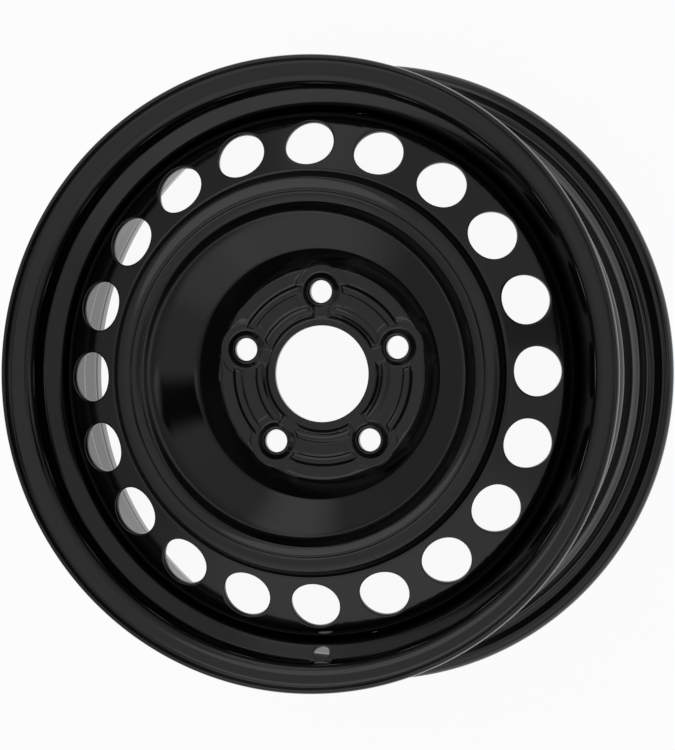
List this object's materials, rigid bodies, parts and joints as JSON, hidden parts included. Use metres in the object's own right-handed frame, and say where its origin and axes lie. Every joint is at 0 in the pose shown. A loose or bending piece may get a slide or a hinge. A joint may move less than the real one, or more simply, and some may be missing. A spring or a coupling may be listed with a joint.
{
  "type": "steel wheel rim",
  "caption": "Pressed steel road wheel: rolled rim with drop-centre well, dished disc with a ring of round vents, a formed hub pad and raised lug seats, joined by weld beads.",
  "frame": {"origin": "the wheel's centre: the hub axis on the rim's middle plane", "axes": "+Z along the hub axis to the outboard side, +Y to the first lug hole, -Y to the valve hole, +X completes a right-handed frame"},
  "size_m": [0.4406, 0.4404, 0.1874],
  "materials": {
    "black_paint": "gloss black dip paint on pressed steel",
    "painted_weld": "gloss black dip paint on rippled weld metal"
  },
  "bodies": {
    "root": {"rim": "black_paint", "disc": "black_paint", "weld_beads": "painted_weld"}
  },
  "joints": []
}
